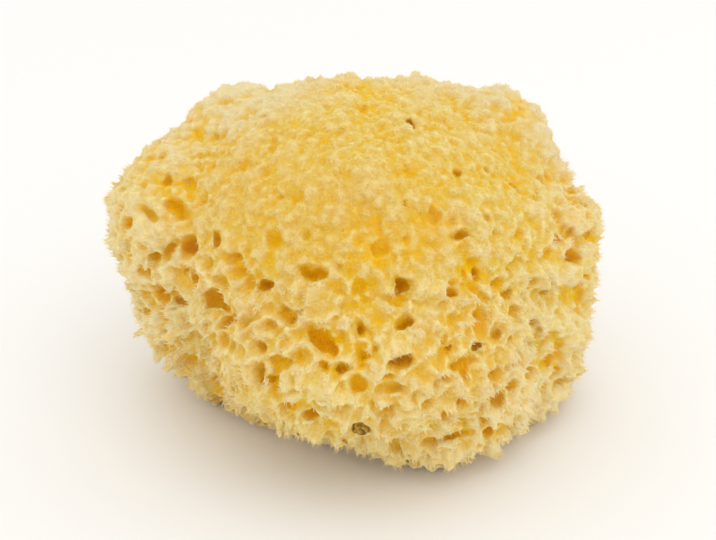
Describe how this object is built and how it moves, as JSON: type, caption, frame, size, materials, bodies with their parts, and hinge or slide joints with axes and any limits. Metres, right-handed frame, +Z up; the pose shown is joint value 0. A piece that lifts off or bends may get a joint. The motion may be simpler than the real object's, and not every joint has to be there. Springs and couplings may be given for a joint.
{
  "type": "sea sponge",
  "caption": "Natural bath sponge: a lumpy rounded body with a felted top, open pores over its sides and a flat cut underneath on which it rests.",
  "frame": {"origin": "middle of the bounding box at the height of the flat cut on which the sponge rests", "axes": "+X along the length, -Y towards the front, +Z up from the cut face"},
  "size_m": [0.142, 0.1162, 0.0967],
  "materials": {
    "sponge_skeleton": "dry fibrous sponge skeleton, matt, pale cream tips over golden hollows and orange-brown pores"
  },
  "bodies": {
    "root": {"sponge": "sponge_skeleton"}
  },
  "joints": []
}
